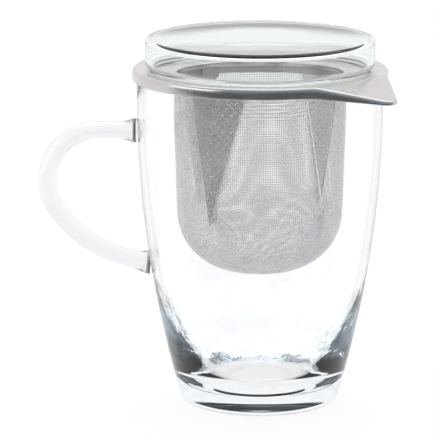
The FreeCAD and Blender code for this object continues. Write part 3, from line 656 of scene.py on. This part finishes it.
def makeRimPlate(sizes):
    outline, normals = tabOutline(sizes)
    polar = np.arctan2(outline[:, 1], outline[:, 0])
    ray = np.stack([np.cos(polar), np.sin(polar)], 1)
    sheet, edge, small = sizes["sheet"], sizes["edge"], sizes["openingEdge"]
    opening = sizes["openingRadius"]
    collarLow = sizes["openingTop"] - sizes["collar"]
    rings = []

    def ring(xy, z):
        rings.append(np.column_stack([xy, np.broadcast_to(z, len(xy))]))

    def inset(distance):
        return outline - normals * distance

    # top of the dish from the opening's rounded edge to the outer edge
    innerCircle, outerCurve = ray * (opening + small), inset(edge)
    for share in np.linspace(0, 1, 26):
        xy = innerCircle + (outerCurve - innerCircle) * share
        ring(xy, plateHeight(sizes, xy))
    # outer edge, a quarter round, then the skirt and its rounded lower edge
    for angle in np.radians(np.linspace(0, 90, 9))[1:]:
        xy = inset(edge * (1 - math.sin(angle)))
        ring(xy, plateHeight(sizes, outerCurve) - edge * (1 - math.cos(angle)))
    low = skirtBottom(sizes, outline)
    upper = plateHeight(sizes, outerCurve) - edge
    half = sheet / 2
    low = np.minimum(low, upper - sizes["leastSkirt"])
    ring(outline, low + half)
    for angle in np.radians(np.linspace(0, 180, 7))[1:]:
        ring(inset(half * (1 - math.cos(angle))), low + half - half * math.sin(angle))
    # inside of the skirt, inner edge round and underside of the dish
    inner = edge - sheet
    for angle in np.radians(np.linspace(90, 0, 6)):
        xy = inset(edge - inner * math.sin(angle))
        ring(xy, np.maximum(upper + inner * math.cos(angle), low + half))
    underCircle = ray * (opening + sheet)
    for share in np.linspace(1, 0, 12):
        xy = underCircle + (outerCurve - underCircle) * share
        ring(xy, plateHeight(sizes, xy) - sheet)
    # collar: outer wall, rounded lower edge, inner wall, then the opening's rounded edge
    ring(ray * (opening + sheet), collarLow + half)
    for angle in np.radians(np.linspace(0, 180, 7))[1:]:
        ring(ray * (opening + half + half * math.cos(angle)), collarLow + half - half * math.sin(angle))
    edgeTop = plateHeight(sizes, innerCircle)
    for angle in np.radians(np.linspace(0, 90, 7))[:-1]:
        ring(ray * (opening + small * (1 - math.cos(angle))), edgeTop - small * (1 - math.sin(angle)))

    grid = np.array(rings)  # rows run along the profile, columns along the outline
    turn = math.radians(sizes["tabAzimuth"])
    spin = np.array([[math.cos(turn), math.sin(turn), 0], [-math.sin(turn), math.cos(turn), 0], [0, 0, 1]])
    points = grid.reshape(-1, 3) @ spin
    faces = gridQuads(grid.shape[0], grid.shape[1], wrapRows=True, wrapColumns=True)[:, ::-1]
    plate = newPiece("pressedRimPlate", points, faces.tolist(), rimSteel, "infuser")
    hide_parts("rim_plate")


makeRimPlate(plateSizes)
print("rim plate built")


# Infuser cup
cupSizes = {
    "neckRadius": 30.25,    # to the middle of the cloth
    "taper": 1.15,
    "neckBottom": 112.6,
    "waistHeight": 75.0,
    "top": 116.0,
    "bottom": 47.75,
    "corner": 20.8,
    "pitch": 0.8,
    "wire": 0.125,          # wire radius
    "sides": 5,
}


def cupProfile(sizes):
    # arc length, radius, height and outward normal along a meridian: flat floor, corner arc,
    # tapered wall and upright neck
    neck, low, corner = sizes["neckRadius"], sizes["bottom"], sizes["corner"]
    waist = neck - sizes["taper"]
    lean = math.atan2(sizes["taper"], sizes["neckBottom"] - sizes["waistHeight"])
    centreUp = low + corner
    centreAcross = waist - corner / math.cos(lean) + (centreUp - sizes["waistHeight"]) * math.tan(lean)
    floor = np.stack([np.linspace(0, centreAcross, 12)[:-1], np.full(11, low)], 1)
    bend = arcPoints((centreAcross, centreUp), corner, -90, -math.degrees(lean), 60)
    wall = np.linspace(bend[-1], [neck, sizes["neckBottom"]], 50)[1:]
    collar = np.linspace([neck, sizes["neckBottom"]], [neck, sizes["top"]], 6)[1:]
    line = np.vstack([floor, bend, wall, collar])
    length = np.concatenate([[0], np.cumsum(np.hypot(*np.diff(line, axis=0).T))])
    tangent = np.gradient(line, length, axis=0)
    tangent /= np.hypot(tangent[:, 0], tangent[:, 1])[:, None]
    return length, line, np.stack([tangent[:, 1], -tangent[:, 0]], 1)


cupLength, cupLine, cupNormal = cupProfile(cupSizes)

# azimuths of the four folds as they lie, against the even ones of a square cloth
foldSizes = {
    "even": [-135, -45, 45, 135],
    "real": [-121, -41, 45, 138],
    "pullStart": 8,         # from here outward on the floor the folds pull the cloth aside
    "pullLength": 14,
}


def cupPoint(azimuth, along, offset):
    # point of the cup at an azimuth and a distance along the meridian, moved out by offset
    even = foldSizes["even"] + [foldSizes["even"][0] + 360]
    real = foldSizes["real"] + [foldSizes["real"][0] + 360]
    degrees = (np.degrees(azimuth) - even[0]) % 360 + even[0]
    turned = np.radians(np.interp(degrees, even, real))
    share = np.clip((along - foldSizes["pullStart"]) / foldSizes["pullLength"], 0, 1)
    angle = azimuth + np.angle(np.exp(1j * (turned - azimuth))) * share
    normalR = np.interp(along, cupLength, cupNormal[:, 0])
    normalZ = np.interp(along, cupLength, cupNormal[:, 1])
    radius = np.interp(along, cupLength, cupLine[:, 0]) + normalR * offset
    height = np.interp(along, cupLength, cupLine[:, 1]) + normalZ * offset
    return np.stack([radius * np.cos(angle), radius * np.sin(angle), height], -1)


drapeSizes = {
    "shearEnd": 45.0,       # distance from the cup's centre where the rings have settled level
    "ringRise": 0.12,       # how much the level rings still rise towards a fold
    "settle": 12.0,         # distance in which the cloth goes over from flat to wall
    "rounds": 12,           # angle and distance depend on each other and are worked out in turns
}


def drape(a, b, sizes, width):
    # where the cloth point (a, b) lies on the cup, for 0 <= b <= a: near the centre the cloth lies
    # flat, s cos(angle) = a and s sin(angle) = b; on the wall its wires run upright and level
    tiny, most = 1e-6, math.sqrt(0.5)
    angle = np.arctan2(b, np.maximum(a, tiny))
    flatLimit = width * math.sqrt(2)
    shear = np.clip((a - width) / (sizes["shearEnd"] - width), 0, 1)
    shear = 1 - (1 - sizes["ringRise"]) * shear * shear * (3 - 2 * shear)
    for _ in range(sizes["rounds"]):
        along = a * (1 + (1 / np.cos(angle) - 1) * shear)
        upright = np.clip((along - flatLimit) / sizes["settle"], 0, 1)
        upright = upright * upright * (3 - 2 * upright)
        onFloor = np.arcsin(np.minimum(b / np.maximum(along, tiny), most))
        atLimit = np.arcsin(np.minimum(b / flatLimit, most))
        onWall = (1 - upright) * atLimit + upright * math.pi / 4 * b / width
        angle = np.where(along < flatLimit, onFloor, onWall)
    return angle, along


def clothGrid(sizes):
    # crossings of the cloth's wires: azimuth and meridian distance for every pair of wires
    reach = cupLength[-1]
    width = (sizes["neckRadius"] - sizes["taper"]) * math.pi / 4
    count = int(reach / sizes["pitch"])
    lines = (np.arange(-count, count) + 0.5) * sizes["pitch"]
    a, b = np.meshgrid(lines, lines, indexing="ij")
    bigger, smaller = np.maximum(abs(a), abs(b)), np.minimum(abs(a), abs(b))
    angle, along = drape(bigger, smaller, drapeSizes, width)
    azimuth = np.where(abs(a) >= abs(b), angle, math.pi / 2 - angle)
    azimuth = np.where(a < 0, math.pi - azimuth, azimuth) * np.where(b < 0, -1, 1)
    there = (along <= reach) & ((smaller <= width) | (bigger <= width))
    return azimuth, along, there


def wireTube(path, radius, sides):
    # tube along a point path: each ring lies across the path's direction, turned to the mug's axis,
    # or to the ground where the path itself runs nearly to or from the axis
    tiny, steepLimit = 1e-6, 0.9
    step = np.gradient(path, axis=0)
    step /= np.linalg.norm(step, axis=1, keepdims=True)
    out = path.copy()
    out[:, 2] = 0
    size = np.linalg.norm(out, axis=1, keepdims=True)
    out = np.where(size > tiny, out / np.maximum(size, tiny), [0, 0, 1])
    steep = abs(np.sum(out * step, 1, keepdims=True)) > steepLimit
    out = np.where(steep, [0.0, 0.0, -1.0], out)
    side = np.cross(step, out)
    side /= np.linalg.norm(side, axis=1, keepdims=True)
    lift = np.cross(side, step)
    angle = np.linspace(0, 2 * np.pi, sides, endpoint=False)[:, None]
    return path[:, None] + radius * (np.cos(angle) * lift[:, None] + np.sin(angle) * side[:, None])


def addRuns(paths, radius, sides, store):
    # one tube for each path, with its quads and closed ends, added to store
    for path in paths:
        if len(path) < 2:
            continue
        tube = wireTube(path, radius, sides)
        rows = len(path)
        start = store["count"]
        quads = gridQuads(rows, sides, wrapColumns=True, start=start)
        store["points"].append(tube.reshape(-1, 3))
        store["faces"] += quads.tolist()
        store["faces"].append(list(range(start + sides - 1, start - 1, -1)))
        store["faces"].append(list(range(start + (rows - 1) * sides, start + rows * sides)))
        along = np.linspace(0, 1, rows)
        across = (store["row"] + np.linspace(0.1, 0.9, sides)) / store["rows"]
        store["uv"].append(np.stack(np.broadcast_arrays(along[:, None], across[None]), -1).reshape(-1, 2))
        store["count"] += rows * sides
        store["row"] += 1


def newStore(rows):
    return {"points": [], "faces": [], "uv": [], "count": 0, "row": 0, "rows": rows}


def clothPiece(name, store, material):
    points, uv = np.vstack(store["points"]), np.vstack(store["uv"])
    piece = newPiece(name, points, store["faces"], material, "infuser", uv)
    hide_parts("mesh_basket")


def splitRuns(points, there):
    # the unbroken stretches of a wire
    edges = np.flatnonzero(np.diff(np.concatenate([[0], there.astype(int), [0]])))
    return [points[first:last] for first, last in zip(edges[::2], edges[1::2])]


def makeCloth(sizes):
    azimuth, along, there = clothGrid(sizes)
    index = np.arange(len(azimuth))
    checker = np.where((index[:, None] + index[None]) % 2, 1, -1) * sizes["wire"]
    half = len(index) // 2
    for name, offset, swap in (("warp", checker, False), ("weft", -checker, True)):
        points = cupPoint(azimuth, along, offset)
        grid, mask = (points.transpose(1, 0, 2), there.T) if swap else (points, there)
        for part, rows in (("A", range(0, half)), ("B", range(half, len(index)))):
            runs = [run for row in rows for run in splitRuns(grid[row], mask[row])]
            store = newStore(len(runs))
            addRuns(runs, sizes["wire"], sizes["sides"], store)
            clothPiece(f"{name}Wires{part}", store, wireSteel)


makeCloth(cupSizes)


# Folds: where the cloth is gathered it lies doubled against the wall, in triangles that point down.
pleatSizes = {
    "lift": 0.62,           # from the middle of the wall's cloth to the first layer of a fold
    "layer": 0.6,
    "pitch": 0.8,
    "wire": 0.14,
    "sides": 5,
    "top": 115.6,
    "radius": 29.9,         # used to unroll the wall
    "edgeWidth": 2,         # how many times thicker the bundles at the folded edges are
}
pleats = {
    # azimuths of the upper corners and of the tip, the tip's height, the weave's angle and the
    # number of layers
    "frontLeft": {"first": -137.7, "last": -97.5, "tip": -124.5, "low": 68.0, "weave": 56.0, "layers": 2},
    "frontRight": {"first": -61.0, "last": -32.0, "tip": -46.0, "low": 76.0, "weave": -56.0, "layers": 1},
    "backRight": {"first": 30.0, "last": 62.0, "tip": 46.0, "low": 72.0, "weave": 56.0, "layers": 1},
    "backLeft": {"first": 118.0, "last": 157.0, "tip": 138.0, "low": 68.0, "weave": -56.0, "layers": 2},
}


def wallPoint(azimuth, height, offset):
    # point outside the cup's wall at a height
    wall = cupLine[:, 1] > cupSizes["bottom"] + 1
    along = np.interp(height, cupLine[wall, 1], cupLength[wall])
    radius = np.interp(along, cupLength, cupLine[:, 0]) + offset
    return np.stack([radius * np.cos(azimuth), radius * np.sin(azimuth), height], -1)


def weaveInside(corners, turn, pitch):
    # straight wires across a triangle: for each line its points at the crossings and their parity
    direction = np.array([math.cos(turn), math.sin(turn)])
    across = np.array([-direction[1], direction[0]])
    edges = np.roll(corners, -1, axis=0) - corners
    inward = np.stack([-edges[:, 1], edges[:, 0]], 1)
    inward *= np.sign(np.cross(edges[0], edges[1]))
    span = corners @ across
    first, last = int(np.ceil(span.min() / pitch)), int(np.floor(span.max() / pitch))
    for line in range(first, last + 1):
        base = across * line * pitch
        # keep the stretch of the line that lies inside all three edges
        rate = inward @ direction
        start = np.sum(inward * (corners - base), 1) / np.where(abs(rate) < 1e-9, 1e-9, rate)
        low, high = start[rate > 0].max(initial=-1e9), start[rate < 0].min(initial=1e9)
        crossings = np.arange(math.ceil(low / pitch - 0.5), math.floor(high / pitch - 0.5) + 1)
        if len(crossings) > 1:
            yield base + (crossings[:, None] + 0.5) * pitch * direction, (crossings + line) % 2


def makePleat(name, pleat, sizes):
    unroll = sizes["radius"] * math.pi / 180
    corners = np.array([
        [pleat["first"] * unroll, sizes["top"]],
        [pleat["last"] * unroll, sizes["top"]],
        [pleat["tip"] * unroll, pleat["low"]],
    ])
    runs = []
    for layer in range(pleat["layers"]):
        lift = sizes["lift"] + layer * sizes["layer"]
        lean = math.radians(pleat["weave"] * (1 - 2 * layer) + (180 if layer else 0))
        for family in range(2):
            for line, parity in weaveInside(corners, lean + family * math.pi / 2, sizes["pitch"]):
                offset = lift + sizes["wire"] * (1 - 2 * parity) * (1 - 2 * family)
                runs.append(wallPoint(line[:, 0] / sizes["radius"], line[:, 1], offset))
    # the folded edges, as heavier bundles of wire
    for first, last in ((0, 2), (1, 2)):
        edge = np.linspace(corners[first], corners[last], 60)
        runs.append(wallPoint(edge[:, 0] / sizes["radius"], edge[:, 1], sizes["lift"] + sizes["layer"] / 2))
    store = newStore(len(runs))
    addRuns(runs[:-2], sizes["wire"], sizes["sides"], store)
    addRuns(runs[-2:], sizes["wire"] * sizes["edgeWidth"], sizes["sides"] + 3, store)
    # folds that lie doubled take the darker copy of the wire steel, as painted shade
    clothPiece(name, store, shadedFoldSteel if pleat["layers"] > 1 else wireSteel)


for pleatName, pleat in pleats.items():
    makePleat(pleatName + "Fold", pleat, pleatSizes)
print("woven cup built")


# Stage and light
stageSizes = {
    "floorSize": 6000,
    "floorDepth": -0.1,     # just under the foot
    "floorColour": 0.2,
    "floorRoughness": 0.9,
    "floorGlow": 0.84,      # what the camera sees of the floor on top of its lit colour
    "skyLow": -0.2,         # the room is dark behind the camera and white behind the mug
    "skyHigh": 0.25,
    "dark": (0.33, 0.39, 0.46, 1),
    "frontStart": -20,      # the floor is mirrored dark from here
    "frontEnd": -250,
    "front": 0.12,
}
white, black = (1, 1, 1, 1), (0, 0, 0, 1)


def makeFloor(sizes):
    half = sizes["floorSize"] / 2 * mm
    mesh = bpy.data.meshes.new("floor")
    corners = [(-half, -half, 0), (half, -half, 0), (half, half, 0), (-half, half, 0)]
    mesh.from_pydata(corners, [], [(0, 1, 2, 3)])
    floor = bpy.data.objects.new("floor", mesh)
    floor.location.z = sizes["floorDepth"] * mm
    bpy.context.scene.collection.objects.link(floor)
    material, tree, shader = newMaterial("whiteFloor")
    shader.inputs["Roughness"].default_value = sizes["floorRoughness"]
    shader.inputs["Specular IOR Level"].default_value = 0.0
    shader.inputs["Emission Color"].default_value = white
    # the glow shows to camera, glass and mirror rays, and doesn't light the object otherwise
    ray = addNode(tree, "ShaderNodeLightPath").outputs
    straight = maths(tree, "MAXIMUM", ray["Is Camera Ray"], ray["Is Transmission Ray"])
    seen = maths(tree, "MAXIMUM", straight, ray["Is Glossy Ray"])
    glow = maths(tree, "MULTIPLY", seen, sizes["floorGlow"])
    # metal mirrors a floor that is dark on the camera's side
    place = addNode(tree, "ShaderNodeTexCoord").outputs["Object"]
    near = addNode(tree, "ShaderNodeMapRange", {
        "Value": addNode(tree, "ShaderNodeSeparateXYZ", {0: place}).outputs["Y"],
        "From Min": sizes["frontStart"] * mm,
        "From Max": sizes["frontEnd"] * mm,
        "To Min": 1.0,
        "To Max": sizes["front"],
    })
    metalRay = addNode(
        tree, "ShaderNodeMath", {0: ray["Is Glossy Ray"], 1: ray["Is Transmission Ray"]},
        operation="SUBTRACT", use_clamp=True,
    )
    shade = addNode(tree, "ShaderNodeMix", {0: metalRay.outputs[0], 2: 1.0, 3: near.outputs[0]}).outputs[0]
    floorColour = (*[sizes["floorColour"]] * 3, 1)
    tree.links.new(mixColour(tree, shade, black, floorColour), shader.inputs["Base Color"])
    tree.links.new(maths(tree, "MULTIPLY", glow, shade), shader.inputs["Emission Strength"])
    mesh.materials.append(material)


def makeWorld(sizes):
    world = bpy.data.worlds.new("studio")
    bpy.context.scene.world = world
    world.use_nodes = True
    tree = world.node_tree
    tree.nodes.clear()
    output = addNode(tree, "ShaderNodeOutputWorld")
    place = addNode(tree, "ShaderNodeTexCoord").outputs["Generated"]
    fade = addNode(tree, "ShaderNodeMapRange", {
        "Value": addNode(tree, "ShaderNodeSeparateXYZ", {0: place}).outputs["Y"],
        "From Min": sizes["skyLow"],
        "From Max": sizes["skyHigh"],
    })
    room = mixColour(tree, fade.outputs[0], sizes["dark"], white)
    lighting = addNode(tree, "ShaderNodeBackground", {"Color": room})
    behind = addNode(tree, "ShaderNodeBackground", {"Color": white})
    cameraRay = addNode(tree, "ShaderNodeLightPath").outputs["Is Camera Ray"]
    mix = addNode(tree, "ShaderNodeMixShader", {0: cameraRay, 1: lighting.outputs[0], 2: behind.outputs[0]})
    tree.links.new(mix.outputs[0], output.inputs["Surface"])


# lamps look at the middle of the mug, and their power is in watts
lamps = {
    "softLeft": {"place": (-1100, -550, 350), "size": 1100, "power": 5},
    "softTop": {"place": (100, 200, 1200), "size": 1500, "power": 5},
}
lampTarget = (0, 0, 90)


def makeLamp(name, sizes, target):
    data = bpy.data.lights.new(name, "AREA")
    data.shape = "SQUARE"
    data.size = sizes["size"] * mm
    data.energy = sizes["power"]
    lamp = bpy.data.objects.new(name, data)
    bpy.context.scene.collection.objects.link(lamp)
    lamp.location = [value * mm for value in sizes["place"]]
    aim = [(t - p) for t, p in zip(target, sizes["place"])]
    flat = math.hypot(aim[0], aim[1])
    lamp.rotation_euler = (math.atan2(flat, -aim[2]), 0, math.atan2(-aim[0], aim[1]))


makeFloor(stageSizes)
makeWorld(stageSizes)
for lampName, lamp in lamps.items():
    makeLamp(lampName, lamp, lampTarget)
print("stage built")


# Strip in the mouth of the cup: the CAD piece with a brushed steel look
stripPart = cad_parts["mesh_ring"]
stripPart.data.materials.clear()
stripPart.data.materials.append(stripSteel)


# Lid
lidSizes = {
    "radius": 40.2,
    "bottom": 118.83,
    "height": 10.9,
    "wall": 1.6,
    "topThickness": 1.6,
    "topEdge": 2.0,
    "hollowCorner": 0.8,
    "swellHeight": 3.2,     # below this the wall draws in, on an arc
    "swellRadius": 3.64,
    "turns": 224,
}


def lidProfile(sizes):
    # underside, hollow, rounded lip, drawn-in outside, top edge and top, from axis to axis
    top, wall = sizes["bottom"] + sizes["height"], sizes["wall"]
    under, inner = top - sizes["topThickness"], sizes["radius"] - wall
    round1, round2 = sizes["hollowCorner"], sizes["topEdge"]
    corner = arcPoints((inner - round1, under - round1), round1, 90, 0, 10)
    # both faces of the wall turn about one centre, and the lip is a half round between them
    centre = np.array([sizes["radius"] - sizes["swellRadius"], sizes["bottom"] + sizes["swellHeight"]])
    middle = sizes["swellRadius"] - wall / 2
    end = math.degrees(math.asin((sizes["swellHeight"] - wall / 2) / middle))
    insideSwell = arcPoints(centre, sizes["swellRadius"] - wall, 0, -end, 12)
    lipCentre = centre + middle * np.array([math.cos(math.radians(end)), -math.sin(math.radians(end))])
    lip = arcPoints(lipCentre, wall / 2, 180 - end, 360 - end, 14)[1:-1]
    outsideSwell = arcPoints(centre, sizes["swellRadius"], -end, 0, 16)
    topEdge = arcPoints((sizes["radius"] - round2, top - round2), round2, 0, 90, 18)
    start = [[0, under], [corner[0, 0] * 0.5, under]]
    finish = [[topEdge[-1, 0] * 0.5, top], [0, top]]
    return np.vstack([start, corner, insideSwell, lip, outsideSwell, topEdge, finish])


lid = lathe("glassLidDish", lidProfile(lidSizes), lidGlass, "lid", lidSizes["turns"])
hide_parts("lid_dish")
print("lid built")
